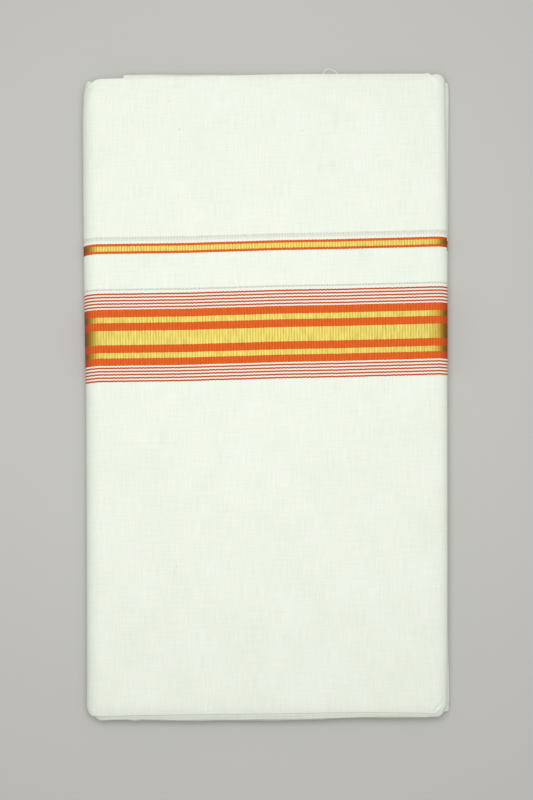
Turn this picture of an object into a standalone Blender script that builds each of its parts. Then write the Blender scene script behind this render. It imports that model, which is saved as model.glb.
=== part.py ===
"""A white cotton dhoti with woven borders, folded into a flat pack that lies on its underside.

The cloth is folded in three across its width and in sixteen along its length, so the pack holds
16 strip layers of 3 plies. Both ends of the long strip are folded in to its middle, and the two
leaves that this gives are closed on each other like a book. The spine is at -X and the open side
at +X, and +Y is the end nearer the border. Lengths are in millimetres up to the mesh, in metres.
"""

import math

import bmesh
import bpy
import numpy as np

MM = 0.001

# The wall and the stack
STRIP_WALL = 1.1  # the three plies of one strip layer
GAP = 0.3
STEEPER = 2.3  # how much more room the wall takes where it slopes, for each share that the pack thins
HIDDEN_LAYER = 0.9  # one strip layer inside, pressed by those over it
HIDDEN_LAYERS = 3  # on each side of a leaf's middle
HIDDEN_HALF = HIDDEN_LAYERS * HIDDEN_LAYER
LEAF_HALF = HIDDEN_HALF + GAP + STRIP_WALL
LOWER_LEVEL = LEAF_HALF  # height of the lower leaf's middle
UPPER_LEVEL = 3 * LEAF_HALF + GAP
SPINE_LEVEL = (LOWER_LEVEL + UPPER_LEVEL) / 2
SPINE_RADIUS = (UPPER_LEVEL - LOWER_LEVEL) / 2

# How far each bend reaches past a half circle
SPINE_LEAN = 1.2
FOLD_LEAN = 1.5
SPINE_REACH = SPINE_RADIUS + LEAF_HALF + SPINE_LEAN
FOLD_REACH = LEAF_HALF + FOLD_LEAN
TUCK_END = 0.985  # share of a leaf's width that the outer layer runs in between the leaves

# Outline from above: the spine at the left and the two leaf folds at the right
SPINE, UPPER_FOLD, LOWER_FOLD = 1, 2, 3
SIDES = np.array(
    [  # y, spine, upper fold, lower fold
        (-204.5, -112.6, 113.0, 115.6),
        (-195.5, -113.3, 113.2, 115.9),
        (-185.0, -113.2, 113.4, 115.8),
        (-152.0, -113.2, 113.8, 114.9),
        (-103.0, -113.3, 113.8, 114.5),
        (-2.0, -113.7, 113.7, 114.5),
        (36.0, -114.4, 113.8, 114.6),
        (73.0, -115.0, 113.7, 114.8),
        (124.0, -115.5, 113.2, 115.1),
        (174.0, -115.8, 112.4, 115.4),
        (190.0, -115.2, 112.2, 115.5),
        (203.5, -112.6, 111.9, 115.0),
    ]
)

# Where the layers end at the bottom and the top of the pack, rounded off at its corners
OUTER_BOTTOM, HIDDEN_BOTTOM, OUTER_TOP, HIDDEN_TOP = 1, 2, 3, 4
PEEK_CORNER = -89.1  # from here a ply with a square corner shows past the top fold
PEEK_STEP = 0.5
ENDS = np.array(
    [  # x, outer bottom, hidden bottom, outer top, hidden top
        (-116.0, -191.5, -191.8, 193.0, 192.5),
        (-113.3, -194.6, -195.0, 195.8, 195.2),
        (-111.9, -196.9, -197.3, 197.5, 196.6),
        (-110.7, -198.9, -199.2, 197.0, 196.0),
        (-109.6, -199.8, -200.2, 196.2, 195.4),
        (-107.6, -200.1, -201.0, 197.3, 196.2),
        (-105.7, -200.1, -203.3, 198.0, 197.0),
        (-104.0, -200.2, -204.1, 198.2, 197.2),
        (-97.0, -200.0, -203.5, 198.5, 197.5),
        (PEEK_CORNER - PEEK_STEP, -199.8, -203.3, 198.7, 197.6),
        (PEEK_CORNER, -199.8, -203.3, 198.7, 201.5),
        (-84.8, -199.5, -203.4, 199.0, 201.6),
        (-82.6, -199.4, -204.2, 199.1, 201.6),
        (-80.2, -199.4, -203.4, 199.2, 201.6),
        (-56.0, -199.1, -204.2, 200.0, 201.5),
        (2.0, -198.4, -203.8, 201.4, 201.5),
        (20.0, -198.0, -203.5, 201.7, 201.1),
        (59.0, -197.4, -201.9, 201.9, 200.8),
        (98.5, -197.8, -201.5, 202.0, 200.6),
        (101.4, -198.4, -201.9, 202.4, 200.8),
        (103.4, -197.9, -201.1, 201.2, 200.0),
        (105.4, -198.7, -201.6, 201.7, 200.3),
        (108.4, -197.0, -201.3, 201.6, 200.2),
        (110.2, -195.2, -199.8, 200.6, 199.2),
        (111.6, -194.1, -198.6, 198.3, 197.2),
        (112.4, -193.4, -197.2, 196.0, 195.0),
        (116.0, -192.5, -196.0, 194.0, 193.6),
    ]
)

# The lower leaf's corners show past the upper leaf at the right: one square, one rounded off
LOWER_CORNER_START = 104.0
LOWER_BOTTOM, LOWER_TOP = 1, 2
LOWER_CORNERS = np.array(
    [  # x, bottom, top
        (LOWER_CORNER_START, -199.2, 199.0),
        (113.9, -199.0, 198.2),
        (115.2, -199.0, 195.9),
        (115.8, -198.6, 192.6),
        (116.4, -197.6, 190.5),
    ]
)

# Stations along Y that every layer passes between its two ends, and one more a little short of each end
STATIONS = (-184.0, -165.0, -120.0, -60.0, 0.0, 60.0, 120.0, 160.0, 184.0)
NEAR_END = 5.5

# Layered ends: how far each hidden strip layer stops short, from the middle of a leaf outwards
SHORT_BOTTOM = (1.6, 0.5, 0.0)
SHORT_TOP = (0.4, 1.5, 0.0)
GROOVE = 0.9  # depth of the crease between two layers
RIDGE = (0.2, 0.75)  # where a layer's edge stands, as shares of its thickness
EDGE_ROUND = 0.25
TUCKED_BACK = 0.6  # from the hidden edge to the last point under the outer layer

# The pack thins towards its edges, most in the last few millimetres, and isn't level
FALL = 0.06
FALL_START = 186.0
FALL_LENGTH = 16.0
LAST_FALL = 0.10
BOTTOM_FALL_START = -192.0
BOTTOM_FALL_LENGTH = 9.0
TOP_FALL_START = 196.5
TOP_FALL_LENGTH = 6.0
RIGHT_FALL = 0.14
RIGHT_FALL_START = 100.0
RIGHT_FALL_LENGTH = 14.0
UNEVEN = 0.010


# Steps round each stretch of the fold
FLAT_STEPS = 7
SPINE_STEPS = 8
FOLD_STEPS = 6

COTTON = (0.87, 0.92, 0.80, 1.0)
COTTON_ROUGHNESS = 0.9


def read(table, column, at):
    """One column of a table of the outline, read between its rows."""
    return float(np.interp(at, table[:, 0], table[:, column]))


def spread(start, end, steps):
    return [start + (end - start) * i / steps for i in range(steps + 1)]


def section(stretch, share, side, offset, y):
    """x and z of a place on the fold at y, offset from its leaf's middle to the outside (1) or inside (-1)."""
    bend = read(SIDES, SPINE, y) + SPINE_REACH
    if stretch == "spine":
        angle = math.pi * (0.5 + share)
        radius = SPINE_RADIUS + side * offset
        return bend + (radius + SPINE_LEAN) * math.cos(angle), SPINE_LEVEL + radius * math.sin(angle)
    upper = stretch.startswith("upper")
    level = UPPER_LEVEL if upper else LOWER_LEVEL
    outward = 1 if upper else -1
    start = read(SIDES, UPPER_FOLD if upper else LOWER_FOLD, y) - FOLD_REACH
    if stretch.endswith("fold"):
        angle = math.pi * (share - 0.5)
        reach = offset + min(offset, FOLD_LEAN)
        return start + reach * math.cos(angle), level + outward * offset * math.sin(angle)
    return start + (bend - start) * share, level + outward * side * offset


def thickness(x, y):
    """Share of the full height at a place on the pack."""
    past = max(abs(y) - FALL_START, 0) / FALL_LENGTH
    low = max(BOTTOM_FALL_START - y, 0) / BOTTOM_FALL_LENGTH
    high = max(y - TOP_FALL_START, 0) / TOP_FALL_LENGTH
    right = max(x - RIGHT_FALL_START, 0) / RIGHT_FALL_LENGTH
    fall = FALL * past**2 + LAST_FALL * (low**2 + high**2) + RIGHT_FALL * right**2
    wave = math.sin(x / 48 + 0.7) * math.cos(y / 71) + 0.6 * math.sin((x + y) / 33)
    return 1 - fall + UNEVEN * wave


def wander(x, z, layer):
    """How unevenly a hidden layer's edge runs."""
    return 0.32 * math.sin(x / 21 + 2.1 * layer + 0.5 * z) + 0.2 * math.sin(x / 8.3 + 4.0 * layer)


def laid(place, offset, y_at):
    """A place of the fold as a point in metres, where y_at gives the y that belongs to its x and z."""
    x, z = section(*place, offset, 0.0)
    x, z = section(*place, offset, y_at(x, z))
    y = y_at(x, z)
    x, z = section(*place, offset, y)
    height = thickness(x, y)
    if offset <= HIDDEN_HALF:
        # The outer layer keeps its wall where the pack thins and slopes, so the layers under it give way
        thinned = 1 - min(height, 1)
        wall = LEAF_HALF - HIDDEN_HALF + STEEPER * thinned
        pressed = (LEAF_HALF - wall / (1 - thinned)) / HIDDEN_HALF
        x, z = section(*place, offset * pressed, y)
    return x * MM, y * MM, z * height * MM


def share_at(x, y):
    """The share of a leaf's width at which x lies, at a y."""
    fold_start = read(SIDES, UPPER_FOLD, y) - FOLD_REACH
    bend_start = read(SIDES, SPINE, y) + SPINE_REACH
    return (fold_start - x) / (fold_start - bend_start)


def flat_shares():
    """Shares along a leaf's width, with one each side of the peeking ply's corner."""
    beside = PEEK_CORNER - 1.2 * PEEK_STEP
    corner = [
        share_at(PEEK_CORNER + PEEK_STEP, read(ENDS, HIDDEN_TOP, PEEK_CORNER)),
        share_at(beside, read(ENDS, HIDDEN_TOP, beside)),
    ]
    return [0.0, 0.03] + spread(0.12, 0.88, FLAT_STEPS - 1) + corner + [1.0]


def outside_places():
    """From the upper leaf's fold over the top, round the spine and along the underside."""
    return (
        [("upper", share, 1) for share in flat_shares()]
        + [("spine", share, 1) for share in spread(0, 1, SPINE_STEPS)[1:-1]]
        + [("lower", share, 1) for share in reversed(flat_shares())]
    )


def fold_places(leaf):
    """Round a leaf's fold, from its inside to its outside."""
    return [(f"{leaf} fold", share, 1) for share in spread(0, 1, FOLD_STEPS)[1:-1]]


def outer_path():
    """The outer layer, from between the leaves, round the whole pack and in between them again."""
    tuck = flat_shares()[:-1] + [TUCK_END]
    return (
        [("upper", share, -1) for share in reversed(tuck)]
        + fold_places("upper")
        + outside_places()
        + list(reversed(fold_places("lower")))
        + [("lower", share, -1) for share in tuck]
    )


def hidden_loop():
    """Round both leaves and back through the inside of the spine, with the same places on both sides."""
    inside = [(stretch, share, -1) for stretch, share, side in reversed(outside_places())]
    return outside_places() + list(reversed(fold_places("lower"))) + inside + fold_places("upper")


def level_at(y):
    return lambda x, z: y


def end_at(column, x, z):
    """The y at which layers end, for an x and z: the lower leaf's open side has corners of its own."""
    if column != OUTER_BOTTOM and z < SPINE_LEVEL and x > LOWER_CORNER_START:
        return read(LOWER_CORNERS, LOWER_BOTTOM if column == HIDDEN_BOTTOM else LOWER_TOP, x)
    return read(ENDS, column, x)


def outer_edge(top):
    return lambda x, z: end_at(OUTER_TOP if top else OUTER_BOTTOM, x, z)


def hidden_edge(top, layer):
    """The y of a hidden layer's edge, for an x and z."""
    column = HIDDEN_TOP if top else HIDDEN_BOTTOM
    short = (SHORT_TOP if top else SHORT_BOTTOM)[layer]
    inward = -1 if top else 1
    return lambda x, z: end_at(column, x, z) + inward * (short + abs(wander(x, z, layer)))


def behind(top, distance, *edges):
    """The y that lies a distance behind the shortest of some edges."""
    if top:
        return lambda x, z: min(edge(x, z) for edge in edges) - distance
    return lambda x, z: max(edge(x, z) for edge in edges) + distance


def layered_end(top):
    """Offsets and edges over one end, from the middle of a leaf outwards: a ridge for each layer."""
    rings = []
    for layer in range(HIDDEN_LAYERS):
        edge = hidden_edge(top, layer)
        rings.append((layer * HIDDEN_LAYER, behind(top, GROOVE, edge, hidden_edge(top, max(layer - 1, 0)))))
        rings += [((layer + share) * HIDDEN_LAYER, edge) for share in RIDGE]
    outermost = hidden_edge(top, HIDDEN_LAYERS - 1)
    rings.append((HIDDEN_HALF, behind(top, EDGE_ROUND, outermost)))
    covered = outer_edge(top)
    rings.append((HIDDEN_HALF, behind(top, 0, covered, behind(top, TUCKED_BACK, outermost))))
    return rings


def cotton_part(name, rings, closed):
    """Quads between rings of points, as an object in a cotton of its own."""
    bm = bmesh.new()
    rows = [[bm.verts.new(point) for point in ring] for ring in rings]
    for row, following in zip(rows, rows[1:]):
        for i in range(len(row) if closed else len(row) - 1):
            k = (i + 1) % len(row)
            bm.faces.new((row[i], following[i], following[k], row[k]))
    bmesh.ops.remove_doubles(bm, verts=bm.verts, dist=0.00001)
    mesh = bpy.data.meshes.new(name)
    bm.to_mesh(mesh)
    bm.free()
    mesh.shade_smooth()
    mesh.set_sharp_from_angle(angle=math.radians(50))
    cotton = bpy.data.materials.new(f"Cotton of {name}")
    cotton.use_nodes = True
    shader = cotton.node_tree.nodes["Principled BSDF"]
    shader.inputs["Base Color"].default_value = COTTON
    shader.inputs["Roughness"].default_value = COTTON_ROUGHNESS
    shader.inputs["Metallic"].default_value = 0.0
    mesh.materials.append(cotton)
    obj = bpy.data.objects.new(name, mesh)
    dhoti.objects.link(obj)
    return obj


def centre_over_origin(objects):
    """Moves the meshes, and not the objects, so that the pack's box is centred over the origin."""
    points = np.array([vertex.co for obj in objects for vertex in obj.data.vertices])
    middle = (points.min(axis=0) + points.max(axis=0)) / 2
    for obj in objects:
        for vertex in obj.data.vertices:
            vertex.co.x -= middle[0]
            vertex.co.y -= middle[1]


for old in list(bpy.data.objects):
    bpy.data.objects.remove(old, do_unlink=True)
dhoti = bpy.data.collections.new("Dhoti cloth")
bpy.context.scene.collection.children.link(dhoti)

# The outer strip layer: an open surface over the whole pack, thickened inwards
between = [level_at(y) for y in STATIONS]
between = [behind(False, NEAR_END, outer_edge(False))] + between + [behind(True, NEAR_END, outer_edge(True))]
outer_rows = [outer_edge(top=False)] + between + [outer_edge(top=True)]
outer_layer = cotton_part(
    "outer_layer",
    [[laid(place, LEAF_HALF, y_at) for place in outer_path()] for y_at in outer_rows],
    closed=False,
)
wall = outer_layer.modifiers.new("Three plies", "SOLIDIFY")
wall.thickness = STRIP_WALL * MM
wall.offset = -1
wall.use_even_offset = True

# The hidden strip layers: one solid under the outer layer, with every layer's edge at both ends
hidden_rows = (
    layered_end(top=False)
    + [(HIDDEN_HALF, y_at) for y_at in between]
    + list(reversed(layered_end(top=True)))
)
hidden_layers = cotton_part(
    "hidden_layers",
    [[laid(place, offset, y_at) for place in hidden_loop()] for offset, y_at in hidden_rows],
    closed=True,
)

centre_over_origin((outer_layer, hidden_layers))
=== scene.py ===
import math

import bmesh
import bpy
import numpy as np
from mathutils import Matrix, Vector


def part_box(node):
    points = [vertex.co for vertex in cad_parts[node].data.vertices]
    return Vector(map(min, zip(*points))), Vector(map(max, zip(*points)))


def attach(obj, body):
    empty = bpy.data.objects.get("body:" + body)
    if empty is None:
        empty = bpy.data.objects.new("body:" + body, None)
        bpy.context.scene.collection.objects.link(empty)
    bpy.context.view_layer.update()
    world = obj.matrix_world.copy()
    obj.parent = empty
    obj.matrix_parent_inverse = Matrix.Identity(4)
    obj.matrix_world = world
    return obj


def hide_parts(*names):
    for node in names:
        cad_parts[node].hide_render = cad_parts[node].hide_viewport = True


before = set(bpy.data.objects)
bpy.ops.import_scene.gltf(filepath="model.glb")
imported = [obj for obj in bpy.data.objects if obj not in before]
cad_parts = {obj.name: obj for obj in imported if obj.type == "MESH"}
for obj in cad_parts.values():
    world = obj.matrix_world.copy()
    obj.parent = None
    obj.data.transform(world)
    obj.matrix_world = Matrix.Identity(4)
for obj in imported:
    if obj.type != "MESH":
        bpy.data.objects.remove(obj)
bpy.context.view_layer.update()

# A white cotton dhoti with woven orange and gold borders, folded in three across its width and in
# sixteen along its length. The pack lies on its underside, with the spine of its last fold at -X and
# its open side at +X. Lengths are in millimetres up to the meshes, which are in metres.

MM = 0.001


# The outer strip layer: one stretch of thin plain-woven cotton, 1.22 m wide from selvedge to selvedge and
# folded in three. It makes four of the sixteen layers, as it runs from between the two leaves over the
# upper face, round the spine, under the pack and in between the leaves again.

# The stack: two leaves of 24 plies, closed like a book
PLIES_IN_STRIP = 3
STRIPS_IN_HALF_LEAF = 4
LEAF_HALF = 4.1  # half of a leaf's height
LEAF_GAP = 0.3
PLY_PITCH = LEAF_HALF / (PLIES_IN_STRIP * STRIPS_IN_HALF_LEAF)
PLY_THICKNESS = 0.28
LOWER_LEVEL = LEAF_HALF
UPPER_LEVEL = 3 * LEAF_HALF + LEAF_GAP
SPINE_LEVEL = (LOWER_LEVEL + UPPER_LEVEL) / 2
SPINE_RADIUS = (UPPER_LEVEL - LOWER_LEVEL) / 2

# How far each bend reaches past a half circle
SPINE_LEAN = 1.2
FOLD_LEAN = 1.5
SPINE_REACH = SPINE_RADIUS + LEAF_HALF + SPINE_LEAN
FOLD_REACH = LEAF_HALF + FOLD_LEAN

# How far the strip's two ends reach in between the leaves, as a share of the way to the spine
TUCK_END = 0.985

# Outline from above: the spine at the left and the two leaf folds at the right
SPINE, UPPER_FOLD, LOWER_FOLD = 1, 2, 3
SIDES = np.array(
    [  # y, spine, upper fold, lower fold
        (-204.5, -112.6, 113.0, 115.6),
        (-195.5, -113.3, 113.2, 115.9),
        (-185.0, -113.2, 113.4, 115.8),
        (-152.0, -113.2, 113.8, 114.9),
        (-103.0, -113.3, 113.8, 114.5),
        (-2.0, -113.7, 113.7, 114.5),
        (36.0, -114.4, 113.8, 114.6),
        (73.0, -115.0, 113.7, 114.8),
        (124.0, -115.5, 113.2, 115.1),
        (174.0, -115.8, 112.4, 115.4),
        (190.0, -115.2, 112.2, 115.5),
        (203.5, -112.6, 111.9, 115.0),
    ]
)

# Where the layers end at the bottom and the top of the pack, rounded off at its corners
OUTER_BOTTOM, HIDDEN_BOTTOM, OUTER_TOP, HIDDEN_TOP = 1, 2, 3, 4
PEEK_CORNER = -89.1  # from here a ply with a square corner shows past the top fold
PEEK_STEP = 0.1
ENDS = np.array(
    [  # x, outer bottom, hidden bottom, outer top, hidden top
        (-116.0, -191.5, -191.8, 193.0, 192.5),
        (-113.3, -194.6, -195.0, 195.8, 195.2),
        (-111.9, -196.9, -197.3, 197.5, 196.6),
        (-110.7, -198.9, -199.2, 197.0, 196.0),
        (-109.6, -199.8, -200.2, 196.2, 195.4),
        (-107.6, -200.1, -201.0, 197.3, 196.2),
        (-105.7, -200.1, -203.3, 198.0, 197.0),
        (-104.0, -200.2, -204.1, 198.2, 197.2),
        (-97.0, -200.0, -203.5, 198.5, 197.5),
        (PEEK_CORNER - PEEK_STEP, -199.8, -203.3, 198.7, 197.6),
        (PEEK_CORNER, -199.8, -203.3, 198.7, 202.1),
        (-84.8, -199.5, -203.4, 199.0, 202.2),
        (-82.6, -199.4, -204.2, 199.1, 202.2),
        (-80.2, -199.4, -203.4, 199.2, 202.2),
        (-56.0, -199.1, -204.2, 200.0, 202.1),
        (2.0, -198.4, -203.8, 201.4, 202.1),
        (20.0, -198.0, -203.5, 201.7, 201.1),
        (59.0, -197.4, -201.9, 201.9, 200.8),
        (98.5, -197.8, -201.5, 202.0, 200.6),
        (101.4, -198.4, -201.9, 202.4, 200.8),
        (103.4, -197.9, -201.1, 200.9, 199.8),
        (105.4, -198.7, -201.6, 201.8, 200.3),
        (108.4, -197.0, -201.3, 201.6, 200.2),
        (110.2, -195.2, -199.8, 200.6, 199.2),
        (111.6, -194.1, -198.6, 198.3, 197.2),
        (112.4, -193.4, -197.2, 196.0, 195.0),
        (116.0, -192.5, -196.0, 194.0, 193.6),
    ]
)

# The lower leaf's corners show past the upper leaf at the right: one square, one rounded off
LOWER_CORNER_START = 104.0
LOWER_BOTTOM, LOWER_TOP = 1, 2
LOWER_CORNERS = np.array(
    [  # x, bottom, top
        (LOWER_CORNER_START, -199.2, 199.0),
        (113.9, -199.0, 198.2),
        (115.2, -199.0, 195.9),
        (115.8, -198.6, 192.6),
        (116.4, -197.6, 190.5),
    ]
)

# For each strip layer, from the outside in: how far each end of its cloth goes from the outer edge (0)
# to the hidden one (1), and how many mm short of that it stays
SELVEDGE_LOW, FOLD_LOW, FOLD_HIGH, SELVEDGE_HIGH = range(4)
STRIP_ENDS = (
    ((0.0, 0.0), (0.4, 0.0), (0.0, 0.0), (0.0, 2.0)),
    ((0.9, 0.4), (0.8, 0.0), (0.9, 0.5), (1.0, 0.0)),
    ((1.0, 0.0), (0.75, 0.3), (0.8, 0.0), (0.6, 0.8)),
    ((0.7, 0.0), (0.6, 0.8), (0.6, 0.3), (0.85, 0.0)),
)

# The pack thins towards its edges, most in the last few millimetres, and isn't level
FALL = 0.06
FALL_START = 186.0
FALL_LENGTH = 16.0
LAST_FALL = 0.10
BOTTOM_FALL_START = -192.0
BOTTOM_FALL_LENGTH = 9.0
TOP_FALL_START = 196.5
TOP_FALL_LENGTH = 6.0
RIGHT_FALL = 0.14
RIGHT_FALL_START = 100.0
RIGHT_FALL_LENGTH = 14.0
UNEVEN = 0.010
UNEVEN_X, UNEVEN_Y, UNEVEN_SLANT = 48.0, 71.0, 33.0  # mm per radian

# How unevenly the edges of the plies run: a long and a short wave, each with its height and mm per radian
LONG_WANDER, LONG_WAVE = 0.32, 21.0
SHORT_WANDER, SHORT_WAVE = 0.2, 8.3

# Main creases, as soft ridges (+) and troughs (-) that lift or lower the outer layer
FACE_CREASES = (
    # x, y, length, width, degrees from +X, height
    (-60.0, 120.0, 90.0, 11.0, 82.0, -0.16),
    (25.0, 150.0, 70.0, 9.0, 97.0, 0.12),
    (70.0, 60.0, 110.0, 13.0, 88.0, -0.14),
    (-95.0, 10.0, 120.0, 10.0, 92.0, 0.15),
    (-50.0, -84.0, 75.0, 8.0, -33.0, 0.20),
    (-88.0, -62.0, 40.0, 7.0, -62.0, -0.16),
    (27.0, -120.0, 44.0, 12.0, 25.0, -0.22),
    (-48.0, -174.0, 52.0, 9.0, 12.0, -0.20),
    (-98.0, -135.0, 105.0, 7.5, 90.0, 0.24),
    (62.0, -150.0, 60.0, 10.0, 68.0, 0.16),
    (96.0, -70.0, 90.0, 9.0, 90.0, 0.12),
    (8.0, -62.0, 55.0, 9.0, 160.0, -0.10),
    (100.0, -186.0, 26.0, 4.0, 35.0, 0.25),
    (-102.0, 188.0, 22.0, 4.0, 50.0, -0.22),
    (-110.3, 195.9, 6.0, 0.6, 27.0, -0.50),
    (-110.0, 194.8, 7.0, 0.6, 27.0, 0.50),
    (-109.7, 193.6, 8.0, 0.7, 30.0, -0.50),
    (-109.5, 189.5, 9.0, 1.6, 55.0, 0.20),
    (88.0, 200.7, 24.0, 0.7, 0.0, -0.26),
    (86.0, 198.7, 26.0, 0.8, 1.0, -0.20),
    (102.5, 198.6, 8.0, 1.2, -50.0, -0.48),
    (106.5, 197.0, 10.0, 1.5, -40.0, 0.25),
    (109.3, -194.9, 9.0, 0.6, 45.0, -0.55),
    (108.6, -194.2, 9.0, 0.6, 46.0, 0.36),
    (107.9, -193.4, 10.0, 0.7, 48.0, -0.45),
    (106.3, -192.0, 11.0, 1.1, 50.0, 0.22),
    (-107.5, -194.5, 10.0, 1.6, -40.0, -0.25),
)
UNDER_CREASES = (
    (-40.0, 100.0, 110.0, 10.0, 85.0, -0.20),
    (50.0, -90.0, 80.0, 9.0, 110.0, -0.24),
    (-70.0, -130.0, 60.0, 8.0, 60.0, -0.18),
    (80.0, 120.0, 70.0, 12.0, 95.0, -0.15),
)
CREASE_BEND = 0.25  # how far a crease bends out of its line, as a share of its width
CREASE_WAVE = 4.0

# The edge of a ply that lies under the face, seen through it as a thin line
PLY_LINE_HEIGHT = 0.16
PLY_LINE_WIDTH = 1.3
PLY_LINE_Y = -27.4
PLY_LINE_RISE = 0.009
PLY_LINE_ENDS = (-104.0, 82.0)
PLY_LINE_FADE = 9.0


def read(table, column, at):
    """One column of a table such as SIDES, read between its rows."""
    return np.interp(at, table[:, 0], table[:, column])


# A place on the fold is its stretch, how far along that stretch it lies as a share, and its side: 1 on the
# outside of its leaf, or -1 where it faces the other leaf
def section(place, offset, y):
    """x and height of a place on the fold, for distances from the middle of its leaf."""
    stretch, share, side = place
    bend = read(SIDES, SPINE, y) + SPINE_REACH
    if stretch == "spine":
        angle = math.pi * (0.5 + share)
        radius = SPINE_RADIUS + side * offset
        return bend + (radius + SPINE_LEAN) * math.cos(angle), SPINE_LEVEL + radius * math.sin(angle)
    upper = stretch.startswith("upper")
    level = UPPER_LEVEL if upper else LOWER_LEVEL
    outward = 1 if upper else -1
    start = read(SIDES, UPPER_FOLD if upper else LOWER_FOLD, y) - FOLD_REACH
    if stretch.endswith("fold"):
        angle = math.pi * (share - 0.5)
        reach = offset + np.minimum(offset, FOLD_LEAN)
        return start + reach * math.cos(angle), level + outward * offset * math.sin(angle)
    return start + (bend - start) * share, level + outward * side * offset


def thickness(x, y):
    """Share of the full height at a place on the pack."""
    past = np.maximum(np.abs(y) - FALL_START, 0) / FALL_LENGTH
    low = np.maximum(BOTTOM_FALL_START - y, 0) / BOTTOM_FALL_LENGTH
    high = np.maximum(y - TOP_FALL_START, 0) / TOP_FALL_LENGTH
    right = np.maximum(x - RIGHT_FALL_START, 0) / RIGHT_FALL_LENGTH
    fall = FALL * past**2 + LAST_FALL * (low**2 + high**2) + RIGHT_FALL * right**2
    wave = np.sin(x / UNEVEN_X + 0.7) * np.cos(y / UNEVEN_Y) + 0.6 * np.sin((x + y) / UNEVEN_SLANT)
    return 1 - fall + UNEVEN * wave


def wander(x, z, which):
    """How far an edge runs inside its line, up to about half a millimetre. Each edge wanders its own way."""
    long_wave = LONG_WANDER * np.sin(x / LONG_WAVE + 2.1 * which + 0.5 * z)
    short_wave = SHORT_WANDER * np.sin(x / SHORT_WAVE + 4.0 * which)
    return np.abs(long_wave + short_wave)


def crease_height(table, x, y):
    """The sum of a table's creases at places on the pack, each faded out towards its ends."""
    height = np.zeros_like(y)
    for middle_x, middle_y, length, width, degrees, tall in table:
        turn = math.radians(degrees)
        lengthwise = (x - middle_x) * math.cos(turn) + (y - middle_y) * math.sin(turn)
        beside = (y - middle_y) * math.cos(turn) - (x - middle_x) * math.sin(turn)
        beside = beside + CREASE_BEND * width * np.sin(lengthwise / length * CREASE_WAVE + middle_x)
        height += tall * np.exp(-((beside / width) ** 2) - (2 * lengthwise / length) ** 4)
    return height


def relief(place, x, y):
    """How far the creases and the ply line lift the outer layer at a place."""
    stretch, share, side = place
    if side < 0:
        return np.zeros_like(y)
    if stretch == "spine":
        fade = abs(1 - 2 * share)
    elif stretch.endswith("fold"):
        fade = max(2 * share - 1, 0.0)
    else:
        fade = 1.0
    if stretch.startswith("lower") or (stretch == "spine" and share > 0.5):
        return fade * crease_height(UNDER_CREASES, x, y)
    beside = y - PLY_LINE_Y - PLY_LINE_RISE * x
    low, high = PLY_LINE_ENDS
    shown = 1 / (1 + np.exp(-(x - low) / PLY_LINE_FADE)) / (1 + np.exp((x - high) / PLY_LINE_FADE))
    line = PLY_LINE_HEIGHT * shown * np.exp(-((beside / PLY_LINE_WIDTH) ** 2))
    return fade * (crease_height(FACE_CREASES, x, y) + line)


# Steps along each stretch of the outer path, with finer ones over the face's corners
FACE_STEPS = 84
UNDER_STEPS = 56
TUCK_STEPS = 26
SPINE_STEPS = 22
FOLD_STEPS = 10
CORNER_SHARES = np.arange(0.003, 0.046, 0.003)

# The columns next to the peeking ply's corner are laid out at the pack's highest end, and run straight up
HIGHEST_END = ENDS[:, HIDDEN_TOP].max()
BESIDE_CORNER = 0.02
STRAIGHT_COLUMNS = 2.0


def along(stretch, side, start, end, steps):
    """Places along one stretch, without its last. Two of them lie beside the peeking ply's corner."""
    shares = np.linspace(start, end, steps + 1)
    if stretch == "upper" and steps == FACE_STEPS:
        shares = np.concatenate([shares, CORNER_SHARES, 1 - CORNER_SHARES])
    if stretch in ("upper", "lower"):
        fold = UPPER_FOLD if stretch == "upper" else LOWER_FOLD
        first = read(SIDES, fold, HIGHEST_END) - FOLD_REACH
        last = read(SIDES, SPINE, HIGHEST_END) + SPINE_REACH
        beside_corner = (PEEK_CORNER + BESIDE_CORNER, PEEK_CORNER - PEEK_STEP - BESIDE_CORNER)
        corner = [(first - x) / (first - last) for x in beside_corner]
        shares = np.unique(np.concatenate([shares, corner]))
        if end < start:
            shares = shares[::-1]
    return [(stretch, float(share), side) for share in shares[:-1]]


outer_path = (
    along("upper", -1, TUCK_END, 0, TUCK_STEPS)
    + along("upper fold", 1, 0, 1, FOLD_STEPS)
    + along("upper", 1, 0, 1, FACE_STEPS)
    + along("spine", 1, 0, 1, SPINE_STEPS)
    + along("lower", 1, 1, 0, UNDER_STEPS)
    + along("lower fold", 1, 1, 0, FOLD_STEPS)
    + along("lower", -1, 0, TUCK_END, TUCK_STEPS)
    + [("lower", TUCK_END, -1)]
)

# Stations up one ply, in mm from its lower end: close at both ends, where its edge rounds off, and closer
# over the ply line
PLY_LENGTH = 400.0
STATION_STEP = 4.4
PLY_LINE_STEP = 0.75
END_STATIONS = (0.0, 0.4, 0.8, 1.2, 1.6, 2.0, 2.5, 3.1, 3.8, 4.6, 5.6, 6.8, 8.3, 10.2, 12.9)
face_stations = np.concatenate(
    [
        END_STATIONS,
        np.arange(16.6, 166.0, STATION_STEP),
        np.arange(168.8, 178.0, PLY_LINE_STEP),
        np.arange(181.0, 384.0, STATION_STEP),
        PLY_LENGTH - np.array(END_STATIONS[::-1]),
    ]
)

# The two plies under it show only their edges, so theirs are further apart
covered_stations = np.array([0.0, 1.2, 4.0, 10.0, 30.0, 80.0, 140.0, 200.0])
covered_stations = np.concatenate([covered_stations, PLY_LENGTH - covered_stations[-2::-1]])
TURN_STEPS = 4  # round each of the two folds of the cloth's width


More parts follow.
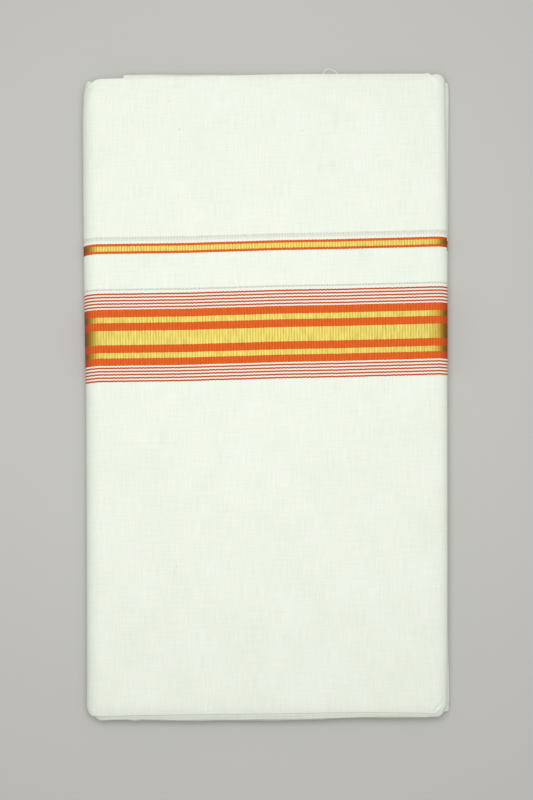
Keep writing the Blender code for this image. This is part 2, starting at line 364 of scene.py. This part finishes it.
def across(stations):
    """Places from selvedge to selvedge, folded in three: ply, share up the ply and mm past its end."""
    turns = np.linspace(0, math.pi, TURN_STEPS + 1)[1:-1]
    reach = PLY_PITCH / 2
    first, second, third = (np.asarray(s) / PLY_LENGTH for s in stations)
    ply = np.concatenate(
        [
            0 * first,
            (1 - np.cos(turns)) / 2,
            1 + 0 * second,
            (3 - np.cos(turns)) / 2,
            2 + 0 * third,
        ]
    )
    up = np.concatenate([first, 1 + 0 * turns, second[::-1], 0 * turns, third])
    past = np.concatenate(
        [0 * first, reach * np.sin(turns), 0 * second, -reach * np.sin(turns), 0 * third]
    )
    return ply, up, past


def cloth_end(x, z, layer, which):
    """The y at which one end of a strip layer's cloth lies, for an x and height on the pack."""
    low = which in (SELVEDGE_LOW, FOLD_LOW)
    share, short = STRIP_ENDS[layer][which]
    outer = read(ENDS, OUTER_BOTTOM if low else OUTER_TOP, x)
    hidden = read(ENDS, HIDDEN_BOTTOM if low else HIDDEN_TOP, x)
    inward = 1 if low else -1
    end = outer + (hidden - outer) * share
    if not low or share > 0:
        lower_leaf = (z < SPINE_LEVEL) & (x > LOWER_CORNER_START)
        end = np.where(lower_leaf, read(LOWER_CORNERS, LOWER_BOTTOM if low else LOWER_TOP, x), end)
    return end + inward * (short + share * wander(x, z, layer + which / 4))


# Where the middle of the wide border lies, by the distance along the strip from the face's middle, and how
# far the stripes slip down as the cloth turns over the spine and the upper fold
BORDER_LINE = np.array(
    [  # along, y
        (-450.0, 43.0),
        (-352.0, 41.0),
        (-134.0, 36.4),
        (-116.0, 36.4),
        (-101.5, 36.5),
        (-79.0, 36.8),
        (-56.5, 37.1),
        (-45.0, 37.3),
        (-34.0, 37.7),
        (-11.5, 38.3),
        (0.0, 38.7),
        (11.0, 39.0),
        (22.0, 39.2),
        (45.0, 39.6),
        (67.0, 40.2),
        (90.0, 40.75),
        (101.0, 41.1),
        (116.0, 41.5),
        (320.0, 43.5),
    ]
)
SPINE_SLIP = 1.2
FOLD_SLIP = 0.6


def slip(place):
    """How far the stripes have slipped towards the bottom at a place."""
    stretch, share, side = place
    if stretch == "spine":
        return SPINE_SLIP * min(2 * share, 1)
    if stretch == "upper fold":
        return FOLD_SLIP * min(2 - 2 * share, 1)
    if side > 0:
        return 0 if stretch == "upper" else SPINE_SLIP
    return FOLD_SLIP


# From the tables' own middle to the frame's, by the solid's high corner
high_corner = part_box("outer_layer")[1]
PACK_SHIFT = np.array(
    [
        high_corner[0] / MM - SIDES[:, LOWER_FOLD].max(),
        high_corner[1] / MM - ENDS[:, OUTER_TOP].max(),
        0.0,
    ]
)

# In the upper leaf, the ends of all plies under the outermost one sag a little away from it
SAG = 0.05
SAG_START = 195.0
SAG_LENGTH = 8.0


def strip_mesh(name, layer, path, places):
    """A flat grid of cloth, folded in three and then laid along the path, with its threads as a UV map."""
    ply, up, past = places
    order = ply if layer % 2 == 0 else PLIES_IN_STRIP - 1 - ply
    offset = LEAF_HALF - (PLIES_IN_STRIP * layer + order + 0.5) * PLY_PITCH
    columns, rows = len(path), len(ply)
    sheet = bmesh.new()
    bmesh.ops.create_grid(sheet, x_segments=columns - 1, y_segments=rows - 1, size=1.0)
    mesh = bpy.data.meshes.new(name)
    sheet.to_mesh(mesh)
    sheet.free()

    turn = PLY_PITCH / 2
    folded = np.empty((columns, rows, 3))
    threads = np.empty((columns, rows, 2))
    middle_of_face = 0.0
    walked = 0.0
    last_spot = None
    for i, place in enumerate(path):
        y = (2 * up - 1) * HIGHEST_END
        x_at_top, _ = section(place, offset, HIGHEST_END)
        beside_corner = np.abs(x_at_top - PEEK_CORNER) < STRAIGHT_COLUMNS
        # Twice, because where a ply ends depends on its x, and its x on its y
        for _ in range(2):
            x, z = section(place, offset, y)
            x = np.where(beside_corner, x_at_top, x)
            selvedge_low = cloth_end(x, z, layer, SELVEDGE_LOW)
            fold_low = cloth_end(x, z, layer, FOLD_LOW) + turn
            fold_high = cloth_end(x, z, layer, FOLD_HIGH) - turn
            selvedge_high = cloth_end(x, z, layer, SELVEDGE_HIGH)
            low = np.where(ply < 0.5, selvedge_low, fold_low)
            high = np.where(ply < 1.5, fold_high, selvedge_high)
            y = low + (high - low) * up + past
        x, z = section(place, offset, y)
        if layer == 0:
            x, z = section(place, offset + relief(place, x, y), y)
        sagging = np.maximum(np.abs(y) - SAG_START, 0) / SAG_LENGTH
        covered = np.minimum(PLIES_IN_STRIP * layer + order, 1)
        pressed = thickness(x, y) - SAG * covered * np.where(z > SPINE_LEVEL, sagging, 0)
        folded[i] = np.column_stack([x, y, z * pressed])
        spot = np.array(section(place, float(offset[0]), 0.0))
        if last_spot is not None:
            walked += float(np.linalg.norm(spot - last_spot))
        last_spot = spot
        if place[0] == "upper" and place[2] > 0 and spot[0] > 0:
            middle_of_face = walked + spot[0]
        # Where a point lies on the flat cloth, with its three plies opened out
        first = y
        second = 2 * fold_high - y
        third = 2 * fold_high - 2 * fold_low + y
        threads[i, :, 0] = walked
        threads[i, :, 1] = np.where(ply < 0.5, first, np.where(ply < 1.5, second, third)) + slip(place)
    threads[:, :, 0] = middle_of_face - threads[:, :, 0]
    threads[:, :, 1] -= np.interp(threads[:, :, 0], BORDER_LINE[:, 0], BORDER_LINE[:, 1])

    # The flat grid's points go to their places on the fold, found by their column and row
    flat = np.empty(len(mesh.vertices) * 3)
    mesh.vertices.foreach_get("co", flat)
    flat = flat.reshape(-1, 3)
    column = np.rint((flat[:, 0] + 1) / 2 * (columns - 1)).astype(int)
    row = np.rint((flat[:, 1] + 1) / 2 * (rows - 1)).astype(int)
    mesh.vertices.foreach_set("co", ((folded[column, row] + PACK_SHIFT) * MM).ravel())
    corner = np.empty(len(mesh.loops), dtype=int)
    mesh.loops.foreach_get("vertex_index", corner)
    layer_map = mesh.uv_layers.new(name="Threads")
    layer_map.data.foreach_set("uv", (threads[column, row] * MM)[corner].ravel())
    mesh.shade_smooth()
    mesh.update()
    return mesh


def cloth_length(mesh):
    """The length of the path that a strip's mesh follows, in metres."""
    threads = np.empty(len(mesh.loops) * 2)
    mesh.uv_layers["Threads"].data.foreach_get("uv", threads)
    along_path = threads[0::2]
    return float(along_path.max() - along_path.min())


def linear(code):
    """An sRGB hex colour as linear RGBA."""
    parts = [int(code[i : i + 2], 16) / 255 for i in (1, 3, 5)]
    return tuple(c / 12.92 if c <= 0.04045 else ((c + 0.055) / 1.055) ** 2.4 for c in parts) + (1.0,)


def add(tree, kind, inputs, output=0, **settings):
    """Adds a node with its settings. Each input is a value, or an output to link. Returns one output."""
    made = tree.nodes.new(kind)
    for name, value in settings.items():
        setattr(made, name, value)
    for socket, value in inputs.items():
        if isinstance(value, bpy.types.NodeSocket):
            tree.links.new(value, made.inputs[socket])
        else:
            made.inputs[socket].default_value = value
    return made.outputs[output]


# Sockets of a colour mix: how much of the second colour, the two colours, and the result
SHARE, FIRST, SECOND, MIXED = 0, 6, 7, 2

# Plain-woven bleached cotton with border stripes of dyed and metal-wrapped yarn. Matt and a little streaky,
# because the yarns are uneven; the metal yarn gives a soft gold glint in fine ribs, partly as painted glints
# in its colour. Over the folds the border has painted shade.
cotton = bpy.data.materials.new("Plain-woven cotton with dyed and metal yarn")
cotton.use_nodes = True
weave = cotton.node_tree
COTTON_LIGHT = "#f3f8ec"
COTTON_SHADE = "#dfe6d4"
ORANGE_YARN = "#e6661c"
ORANGE_RIB_SHADE = "#c4440c"
FINE_YARN = "#c64c12"
GOLD_RIB_GLINT = "#e3d77c"
GOLD_RIB_SHADE = "#b39919"
GOLD_PAINTED_SHADE = "#cc9410"
GOLD_PAINTED_DEEP_SHADE = "#803c04"
ORANGE_PAINTED_SHADE = "#a63406"
GAP_SHADE_GREY = "#c1beb1"

# The threads' own coordinates, in mm along and across the strip. The pattern turns back in the middle of
# the loom width, because a second border lies as far from the other selvedge.
CLOTH_MIDDLE = 371.0
uv = add(weave, "ShaderNodeUVMap", {}, uv_map="Threads")
in_mm = add(weave, "ShaderNodeVectorMath", {0: uv, 1: (1 / MM, 1 / MM, 0)}, operation="MULTIPLY")
split = add(weave, "ShaderNodeSeparateXYZ", {0: in_mm}).node.outputs
past_middle = add(weave, "ShaderNodeMath", {0: split[1], 1: CLOTH_MIDDLE}, operation="SUBTRACT")
from_middle = add(weave, "ShaderNodeMath", {0: past_middle}, operation="ABSOLUTE")
unmoved = add(weave, "ShaderNodeMath", {0: CLOTH_MIDDLE, 1: from_middle}, operation="SUBTRACT")

# How uneven the yarns are. Wefts run up the pack, and are the more uneven. Both yarns are drawn coarser than
# their real 0.4 mm spacing, which would be finer than the render shows.
YARN_NOISE = (
    # name, mm along the strip, mm across it, detail
    ("sway", 1.4, 60.0, 1.0),
    ("weft", 0.9, 14.0, 2.0),
    ("warp", 16.0, 0.9, 2.0),
    ("clouds", 26.0, 34.0, 2.0),
    ("shine", 1.3, 7.0, 2.0),
    ("gaps", 1.5, 1.5, 1.0),
)
noise = {}
for kind, size_along, size_across, detail in YARN_NOISE:
    size = (1 / size_along, 1 / size_across, 0)
    scaled = add(weave, "ShaderNodeVectorMath", {0: in_mm, 1: size}, operation="MULTIPLY")
    noise[kind] = add(weave, "ShaderNodeTexNoise", {"Vector": scaled, "Scale": 1.0, "Detail": detail})

# Warp threads step over and under the wefts, and wander by a fraction of a millimetre
STEP_SPACING = 2.3
STEP_HEIGHT = 0.08
SWAY = 0.36
step_turn = add(weave, "ShaderNodeMath", {0: split[0], 1: 2 * math.pi / STEP_SPACING}, operation="MULTIPLY")
step = add(weave, "ShaderNodeMath", {0: step_turn}, operation="SINE")
swaying = {0: noise["sway"], 1: SWAY, 2: -SWAY / 2}
sway = add(weave, "ShaderNodeMath", swaying, operation="MULTIPLY_ADD")
wiggle = add(weave, "ShaderNodeMath", {0: step, 1: STEP_HEIGHT, 2: sway}, operation="MULTIPLY_ADD")
from_border = add(weave, "ShaderNodeMath", {0: unmoved, 1: wiggle}, operation="ADD")

# Stripes, in mm from the middle of the wide border: the middle, width and strength of each
GOLD_BANDS = ((-0.15, 8.88, 1.0), (10.96, 3.48, 1.0), (-11.19, 3.32, 1.0), (55.45, 3.1, 1.0))
ORANGE_BANDS = (
    (6.755, 4.95, 1.0),
    (-7.06, 4.96, 1.0),
    (15.17, 4.98, 1.0),
    (-15.195, 4.73, 1.0),
    (53.1, 1.6, 1.0),
    (57.8, 1.6, 1.0),
)
FINE_LINES = [(side * at, 1.05, 1.0) for at in (19.05, 21.1, 23.1, 25.15, 27.15) for side in (1, -1)]
OPEN_LINES = ((29.95, 1.15, 0.6), (61.5, 2.8, 0.3), (62.15, 1.5, 0.15))
STRIPES = {"gold": GOLD_BANDS, "orange": ORANGE_BANDS, "fine": FINE_LINES, "open": OPEN_LINES}
stripes = {}
for kind, bands in STRIPES.items():
    total = 0.0
    for middle, wide, strength in bands:
        band = {0: from_border, 1: middle, 2: wide / 2}
        inside = add(weave, "ShaderNodeMath", band, operation="COMPARE")
        total = add(weave, "ShaderNodeMath", {0: inside, 1: strength, 2: total}, operation="MULTIPLY_ADD")
    stripes[kind] = total

# White cotton: streaks along both yarns, and large pale clouds
WEFT_STREAKS = 0.6
WARP_STREAKS = 0.4
STREAKS_LOW, STREAKS_HIGH = 0.35, 0.65
STREAK_SHADE = 0.42
CLOUD_SHADE = 0.5
CLOUD_LEVEL = -0.22
warp_share = add(weave, "ShaderNodeMath", {0: noise["warp"], 1: WARP_STREAKS}, operation="MULTIPLY")
both_yarns = {0: noise["weft"], 1: WEFT_STREAKS, 2: warp_share}
streaks = add(weave, "ShaderNodeMath", both_yarns, operation="MULTIPLY_ADD")
spread = {"Value": streaks, "From Min": STREAKS_LOW, "From Max": STREAKS_HIGH, "To Max": STREAK_SHADE}
streaky = add(weave, "ShaderNodeMapRange", spread)
clouding = {0: noise["clouds"], 1: CLOUD_SHADE, 2: CLOUD_LEVEL}
cloudy = add(weave, "ShaderNodeMath", clouding, operation="MULTIPLY_ADD")
shade = add(weave, "ShaderNodeMath", {0: streaky, 1: cloudy}, operation="ADD")
tints = {SHARE: shade, FIRST: linear(COTTON_LIGHT), SECOND: linear(COTTON_SHADE)}
colour = add(weave, "ShaderNodeMix", tints, output=MIXED, data_type="RGBA")

# Open weave beside the borders: painted shade shows grey between the threads, where the ply under them lies
# in shade, unevenly and in rows
RIB_SPACING = 1.72
HOLE_CONTRAST = 1.4
HOLE_LEVEL = 0.3
HOLE_ROWS = 0.35
rib_turn = add(weave, "ShaderNodeMath", {0: split[0], 1: 2 * math.pi / RIB_SPACING}, operation="MULTIPLY")
rib = add(weave, "ShaderNodeMath", {0: rib_turn}, operation="SINE")
uneven_holes = {0: noise["gaps"], 1: HOLE_CONTRAST, 2: HOLE_LEVEL}
holes = add(weave, "ShaderNodeMath", uneven_holes, operation="MULTIPLY_ADD")
rows_of_holes = add(weave, "ShaderNodeMath", {0: rib, 1: HOLE_ROWS, 2: holes}, operation="MULTIPLY_ADD")
gap_shade = add(weave, "ShaderNodeMath", {0: stripes["open"], 1: rows_of_holes}, operation="MULTIPLY")
tints = {SHARE: gap_shade, FIRST: colour, SECOND: linear(GAP_SHADE_GREY)}
colour = add(weave, "ShaderNodeMix", tints, output=MIXED, data_type="RGBA")

# Over the spine and the upper fold, so far along the strip each way, the border has painted shade where its
# rounded sides turn from the light: a lighter shade over a wider stretch, and a deep brown one nearest the
# fold
FOLD_SHADE_MIDDLE = -0.3
FOLD_SHADE_REACH = 116.5
FOLD_SHADE_WIDTH = 16.0
DEEP_FOLD_SHADE_WIDTH = 10.5
from_face = add(weave, "ShaderNodeMath", {0: split[0], 1: FOLD_SHADE_MIDDLE}, operation="SUBTRACT")
either_way = add(weave, "ShaderNodeMath", {0: from_face}, operation="ABSOLUTE")
off_edge = add(weave, "ShaderNodeMath", {0: either_way, 1: FOLD_SHADE_REACH}, operation="SUBTRACT")
off_fold = add(weave, "ShaderNodeMath", {0: off_edge}, operation="ABSOLUTE")
fading = {"Value": off_fold, "From Min": FOLD_SHADE_WIDTH, "From Max": 0.0}
painted_fold_shade = add(weave, "ShaderNodeMapRange", fading, interpolation_type="SMOOTHSTEP")
fading = {"Value": off_fold, "From Min": DEEP_FOLD_SHADE_WIDTH, "From Max": 0.0}
painted_deep_fold_shade = add(weave, "ShaderNodeMapRange", fading, interpolation_type="SMOOTHSTEP")

# Orange yarn, with painted shade between the ribs
RIB_SHADE = 0.25
DEEP_LEVEL = -0.2
rib_glint_and_shade = add(weave, "ShaderNodeMath", {0: rib, 1: RIB_SHADE, 2: noise["shine"]}, operation="MULTIPLY_ADD")
orange_rib_shade = add(weave, "ShaderNodeMath", {0: rib_glint_and_shade, 1: DEEP_LEVEL}, operation="ADD")
tints = {SHARE: orange_rib_shade, FIRST: linear(ORANGE_YARN), SECOND: linear(ORANGE_RIB_SHADE)}
orange_colour = add(weave, "ShaderNodeMix", tints, output=MIXED, data_type="RGBA")
# Painted shade over the folds: the orange turns a deeper red there
tints = {SHARE: painted_deep_fold_shade, FIRST: orange_colour, SECOND: linear(ORANGE_PAINTED_SHADE)}
orange_colour = add(weave, "ShaderNodeMix", tints, output=MIXED, data_type="RGBA")
tints = {SHARE: stripes["fine"], FIRST: colour, SECOND: linear(FINE_YARN)}
colour = add(weave, "ShaderNodeMix", tints, output=MIXED, data_type="RGBA")
tints = {SHARE: stripes["orange"], FIRST: colour, SECOND: orange_colour}
colour = add(weave, "ShaderNodeMix", tints, output=MIXED, data_type="RGBA")

# Metal yarn: each rib has painted glints and painted shade, as if it caught the light a little differently.
# Over the folds it has painted shade, lighter and then deep brown, which stands in for the darker room that
# the metal would mirror, and there it is made fully metal. Cotton is matt, and metal yarn less so.
METAL_SHARE = 0.5
COTTON_ROUGHNESS = 0.88
METAL_ROUGHNESS = 0.58
RIB_RELIEF = 0.12
WEAVE_DEPTH = 0.15
# Painted glints and painted shade along the metal yarn's ribs
tints = {SHARE: rib_glint_and_shade, FIRST: linear(GOLD_RIB_GLINT), SECOND: linear(GOLD_RIB_SHADE)}
gold_colour = add(weave, "ShaderNodeMix", tints, output=MIXED, data_type="RGBA")
tints = {SHARE: painted_fold_shade, FIRST: gold_colour, SECOND: linear(GOLD_PAINTED_SHADE)}
gold_colour = add(weave, "ShaderNodeMix", tints, output=MIXED, data_type="RGBA")
tints = {SHARE: painted_deep_fold_shade, FIRST: gold_colour, SECOND: linear(GOLD_PAINTED_DEEP_SHADE)}
gold_colour = add(weave, "ShaderNodeMix", tints, output=MIXED, data_type="RGBA")
tints = {SHARE: stripes["gold"], FIRST: colour, SECOND: gold_colour}
colour = add(weave, "ShaderNodeMix", tints, output=MIXED, data_type="RGBA")
metal_by_fold_shade = {0: painted_fold_shade, 1: 1 - METAL_SHARE, 2: METAL_SHARE}
metal_towards_folds = add(weave, "ShaderNodeMath", metal_by_fold_shade, operation="MULTIPLY_ADD")
metal = add(weave, "ShaderNodeMath", {0: stripes["gold"], 1: metal_towards_folds}, operation="MULTIPLY")
matting = {0: stripes["gold"], 1: METAL_ROUGHNESS - COTTON_ROUGHNESS, 2: COTTON_ROUGHNESS}
rough = add(weave, "ShaderNodeMath", matting, operation="MULTIPLY_ADD")
relief_of_ribs = add(weave, "ShaderNodeMath", {0: stripes["gold"], 1: rib}, operation="MULTIPLY")
raising = {0: relief_of_ribs, 1: RIB_RELIEF, 2: streaks}
height = add(weave, "ShaderNodeMath", raising, operation="MULTIPLY_ADD")
bump = add(weave, "ShaderNodeBump", {"Height": height, "Strength": 0.6, "Distance": WEAVE_DEPTH * MM})
surface = weave.nodes["Principled BSDF"]
weave.links.new(colour, surface.inputs["Base Color"])
weave.links.new(metal, surface.inputs["Metallic"])
weave.links.new(rough, surface.inputs["Roughness"])
weave.links.new(bump, surface.inputs["Normal"])
surface.inputs["Sheen Weight"].default_value = 0.06
surface.inputs["Sheen Roughness"].default_value = 0.6
surface.inputs["Specular IOR Level"].default_value = 0.3


def cloth_piece(name, meshes):
    """Strip meshes as one thin-walled piece of cloth."""
    joined = bmesh.new()
    for mesh in meshes:
        joined.from_mesh(mesh)
    whole = bpy.data.meshes.new(name)
    joined.to_mesh(whole)
    joined.free()
    whole.shade_smooth()
    whole.materials.append(cotton)
    piece = bpy.data.objects.new(name, whole)
    bpy.context.scene.collection.objects.link(piece)
    wall = piece.modifiers.new("One ply", "SOLIDIFY")
    wall.thickness = PLY_THICKNESS * MM
    wall.offset = 0
    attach(piece, "root")
    return piece


outer_places = across((face_stations, covered_stations, covered_stations))
outer_strip = strip_mesh("Outer strip", 0, outer_path, outer_places)
outer_cloth = cloth_piece("outer_cloth", [outer_strip])
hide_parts("outer_layer")


# The strip layers under it. They are the same cloth, folded in the same three plies, and only their
# edges show, at the top and the bottom of the pack and past the outer layer's fold at the top left.
HIDDEN_FLAT_STEPS = 52
inner_path = (
    along("lower", -1, 0, 1, HIDDEN_FLAT_STEPS)
    + along("spine", -1, 1, 0, SPINE_STEPS)
    + along("upper", -1, 1, 0, HIDDEN_FLAT_STEPS)
    + along("upper fold", 1, 0, 1, FOLD_STEPS)
    + along("upper", 1, 0, 1, HIDDEN_FLAT_STEPS)
    + along("spine", 1, 0, 1, SPINE_STEPS)
    + along("lower", 1, 1, 0, HIDDEN_FLAT_STEPS)
    + along("lower fold", 1, 1, 0, FOLD_STEPS)
)
inner_stations = np.array([0.0, 1.5, 5.0, 14.0, 45.0, 120.0])
inner_stations = np.concatenate([inner_stations, PLY_LENGTH - inner_stations[::-1]])
inner_places = across((inner_stations, inner_stations, inner_stations))
inner_strips = [
    strip_mesh(f"Inner strip {layer}", layer, inner_path, inner_places) for layer in (1, 2, 3)
]
inner_cloth = cloth_piece("inner_cloth", inner_strips)
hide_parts("hidden_layers")
inner_length = sum(cloth_length(strip) for strip in inner_strips)
cloth_length(outer_strip)


# Seed specks: bits of cotton seed coat that ginning left in the yarn, caught between the threads. They are
# dark, hard and far smaller than a thread's length, and each lies where the yarn carried it.
SPECKS_ON_FACE = (
    # x, y, size
    (-54.3, 166.6, 0.62),
    (-61.2, 184.1, 0.40),
    (-62.3, 176.3, 0.34),
    (-99.9, 186.3, 0.34),
    (22.6, 165.7, 0.42),
    (-24.0, 111.4, 0.34),
    (69.0, 150.1, 0.34),
    (-97.0, -19.0, 0.34),
    (-0.3, -57.7, 0.38),
    (-88.9, -74.0, 0.32),
    (-55.9, -105.8, 0.38),
    (91.4, -55.9, 0.34),
    (107.0, -48.4, 0.34),
    (100.8, -29.6, 0.34),
    (20.9, -120.1, 0.38),
    (-3.4, -168.8, 0.38),
    (49.6, -180.7, 0.32),
)
SPECKS_UNDERNEATH = 12
UNDERSIDE_X, UNDERSIDE_Y = 95, 180  # how far from the middle they lie at most
UNDERSIDE_SIZES = (0.3, 0.5)
UNDERSIDE_SUNK = 0.05
SPECK_WIDTHS = (0.6, 1.0)  # as shares of a speck's length
SPECK_FLATNESS = 0.35


def on_cloth(stretch, x, y, above):
    """The point, in mm, that lies so far above the outer ply's middle on the face or the underside."""
    fold = UPPER_FOLD if stretch == "upper" else LOWER_FOLD
    start = read(SIDES, fold, y) - FOLD_REACH
    bend = read(SIDES, SPINE, y) + SPINE_REACH
    place = (stretch, float((start - x) / (start - bend)), 1)
    lift = relief(place, np.array([x]), np.array([y]))[0]
    x, z = section(place, LEAF_HALF - PLY_PITCH / 2 + lift + above, y)
    return Vector((x, y, z * thickness(x, y))) + Vector(PACK_SHIFT)


chance = np.random.default_rng(7)
specks = [(on_cloth("upper", x, y, PLY_THICKNESS / 2), size) for x, y, size in SPECKS_ON_FACE]
for _ in range(SPECKS_UNDERNEATH):
    x, y = chance.uniform(-UNDERSIDE_X, UNDERSIDE_X), chance.uniform(-UNDERSIDE_Y, UNDERSIDE_Y)
    centre = on_cloth("lower", x, y, PLY_THICKNESS / 2 - UNDERSIDE_SUNK)
    specks.append((centre, chance.uniform(*UNDERSIDE_SIZES)))
speck_shapes = bmesh.new()
for centre, size in specks:
    turned = Matrix.Rotation(chance.uniform(0, math.pi), 4, "Z")
    width = size * chance.uniform(*SPECK_WIDTHS)
    stretched = Matrix.Diagonal((size / 2, width / 2, size / 2 * SPECK_FLATNESS, 1))
    placed = Matrix.Scale(MM, 4) @ Matrix.Translation(centre) @ turned @ stretched
    bmesh.ops.create_icosphere(speck_shapes, subdivisions=2, radius=1.0, matrix=placed)
speck_mesh = bpy.data.meshes.new("seed_specks")
speck_shapes.to_mesh(speck_mesh)
speck_shapes.free()
speck_mesh.shade_smooth()

# Dried seed coat: brown-black and matt, a little lighter where it is thin
SEED_DARK = "#3a3428"
SEED_PALE = "#6a5f4c"
MOTTLES_PER_METRE = 900.0
seed_coat = bpy.data.materials.new("Dried cotton seed coat")
seed_coat.use_nodes = True
seed_tree = seed_coat.node_tree
seed_shader = seed_tree.nodes["Principled BSDF"]
in_pack = add(seed_tree, "ShaderNodeTexCoord", {}, output="Object")
mottle = add(seed_tree, "ShaderNodeTexNoise", {"Vector": in_pack, "Scale": MOTTLES_PER_METRE})
tints = {SHARE: mottle, FIRST: linear(SEED_DARK), SECOND: linear(SEED_PALE)}
seed_colour = add(seed_tree, "ShaderNodeMix", tints, output=MIXED, data_type="RGBA")
seed_tree.links.new(seed_colour, seed_shader.inputs["Base Color"])
seed_shader.inputs["Roughness"].default_value = 0.7
speck_mesh.materials.append(seed_coat)
seed_specks = bpy.data.objects.new("seed_specks", speck_mesh)
bpy.context.scene.collection.objects.link(seed_specks)
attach(seed_specks, "root")


# Loose yarn: a weft end that stands out of the top edge in a small loop, and a short end of border yarn at
# the bottom left. Both are single cotton threads that the weaver's shears left.
YARN_THICKNESS = 0.3
TWIST_LENGTH = 0.6  # about one turn of the yarn
TWIST_DEPTH = 0.05
# Painted highlight for the crest of each turn of the yarn
TWIST_HIGHLIGHT = "#fbfbf2"
WEFT_YARN = "#f1f4e6"
BORDER_YARN = "#d9b45a"


def loose_yarn(name, points, colour, material_name):
    """A thread through points given in mm on the pack, as a smooth curve."""
    line = bpy.data.curves.new(name, "CURVE")
    line.dimensions = "3D"
    line.bevel_depth = YARN_THICKNESS / 2 * MM
    line.bevel_resolution = 2
    line.resolution_u = 8
    line.use_fill_caps = True
    spline = line.splines.new("NURBS")
    spline.points.add(len(points) - 1)
    spline.order_u = 4
    spline.use_endpoint_u = True
    for point, where in zip(spline.points, points):
        point.co = (*((Vector(where) + Vector(PACK_SHIFT)) * MM), 1.0)
    yarn = bpy.data.materials.new(material_name)
    yarn.use_nodes = True
    tree = yarn.node_tree
    shader = tree.nodes["Principled BSDF"]
    in_thread = add(tree, "ShaderNodeTexCoord", {}, output="Object")
    turns = {"Vector": in_thread, "Scale": 0.5 / (TWIST_LENGTH * MM), "Distortion": 1.0}
    twist = add(tree, "ShaderNodeTexWave", turns, output="Fac", bands_direction="DIAGONAL")
    # Painted highlights along the twist, lighter where each turn would catch the light
    tints = {SHARE: twist, FIRST: linear(colour), SECOND: linear(TWIST_HIGHLIGHT)}
    tint = add(tree, "ShaderNodeMix", tints, output=MIXED, data_type="RGBA")
    twisted = add(tree, "ShaderNodeBump", {"Height": twist, "Strength": 0.5, "Distance": TWIST_DEPTH * MM})
    tree.links.new(tint, shader.inputs["Base Color"])
    tree.links.new(twisted, shader.inputs["Normal"])
    shader.inputs["Roughness"].default_value = 0.85
    line.materials.append(yarn)
    thread = bpy.data.objects.new(name, line)
    bpy.context.scene.collection.objects.link(thread)
    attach(thread, "root")


loose_yarn(
    "loose_weft",
    (
        (34.6, 197.0, 14.3),
        (35.0, 200.6, 14.2),
        (35.6, 203.0, 14.4),
        (37.2, 204.6, 14.8),
        (39.2, 205.0, 15.0),
        (41.8, 203.8, 14.9),
        (44.0, 202.8, 14.6),
        (45.2, 200.6, 14.2),
        (45.4, 197.0, 14.2),
    ),
    WEFT_YARN,
    "Single cotton weft yarn",
)
loose_yarn(
    "border_yarn_end",
    (
        (-106.4, -199.6, 13.6),
        (-105.2, -200.9, 13.8),
        (-103.6, -200.6, 14.0),
        (-101.6, -200.9, 13.8),
        (-100.6, -199.6, 13.4),
    ),
    BORDER_YARN,
    "Single border yarn",
)


# The surface that the pack lies on: a pale board with matt paint, much wider than the picture. It is part
# of the stage, not of the cloth.
FLOOR_REACH = 12.0
BOARD_PAINT = "#c4c3bf"
floor_mesh = bpy.data.meshes.new("floor")
plane = bmesh.new()
bmesh.ops.create_grid(plane, x_segments=2, y_segments=2, size=FLOOR_REACH)
plane.to_mesh(floor_mesh)
plane.free()
floor = bpy.data.objects.new("floor", floor_mesh)
bpy.context.scene.collection.objects.link(floor)
matt_board = bpy.data.materials.new("Matt painted board")
matt_board.use_nodes = True
board_shader = matt_board.node_tree.nodes["Principled BSDF"]
board_shader.inputs["Base Color"].default_value = linear(BOARD_PAINT)
board_shader.inputs["Roughness"].default_value = 0.9
floor_mesh.materials.append(matt_board)

# Soft light from above, a little towards the pack's top left, and a weaker one from the ceiling
SKY_STRENGTH = 0.40
world = bpy.data.worlds.new("Studio")
bpy.context.scene.world = world
world.use_nodes = True
sky = world.node_tree.nodes["Background"]
sky.inputs["Color"].default_value = (1.0, 1.0, 1.0, 1.0)
sky.inputs["Strength"].default_value = SKY_STRENGTH


def softbox(name, place, size, power):
    """A round softbox that faces the pack, and that the camera doesn't see."""
    lamp_data = bpy.data.lights.new(name, "AREA")
    lamp_data.shape = "DISK"
    lamp_data.size = size
    lamp_data.energy = power
    lamp = bpy.data.objects.new(name, lamp_data)
    lamp.location = place
    lamp.rotation_euler = Vector(place).to_track_quat("Z", "Y").to_euler()
    lamp.visible_camera = False
    bpy.context.scene.collection.objects.link(lamp)


softbox("Softbox overhead", place=(-0.035, 0.095, 0.80), size=0.5, power=3.78)
softbox("Ceiling light", place=(0.9, 0.5, 3.4), size=3.0, power=12.0)

# The camera looks straight down, as in the photograph
CAMERA_HEIGHT = 0.9
VIEW_HEIGHT = 0.504  # what the frame's height shows at the middle of the pack
PACK_MIDDLE_HEIGHT = 0.008
VIEW_MIDDLE_Y = -2.2  # in mm, on the pack
camera_data = bpy.data.cameras.new("Camera")
camera_data.sensor_fit = "VERTICAL"
camera_data.sensor_height = 36.0
camera_data.lens = camera_data.sensor_height * (CAMERA_HEIGHT - PACK_MIDDLE_HEIGHT) / VIEW_HEIGHT
camera_data.clip_start = 0.05
camera = bpy.data.objects.new("Camera", camera_data)
camera.location = (PACK_SHIFT[0] * MM, (VIEW_MIDDLE_Y + PACK_SHIFT[1]) * MM, CAMERA_HEIGHT)
bpy.context.scene.collection.objects.link(camera)
bpy.context.scene.camera = camera
bpy.context.scene.view_settings.view_transform = "Standard"
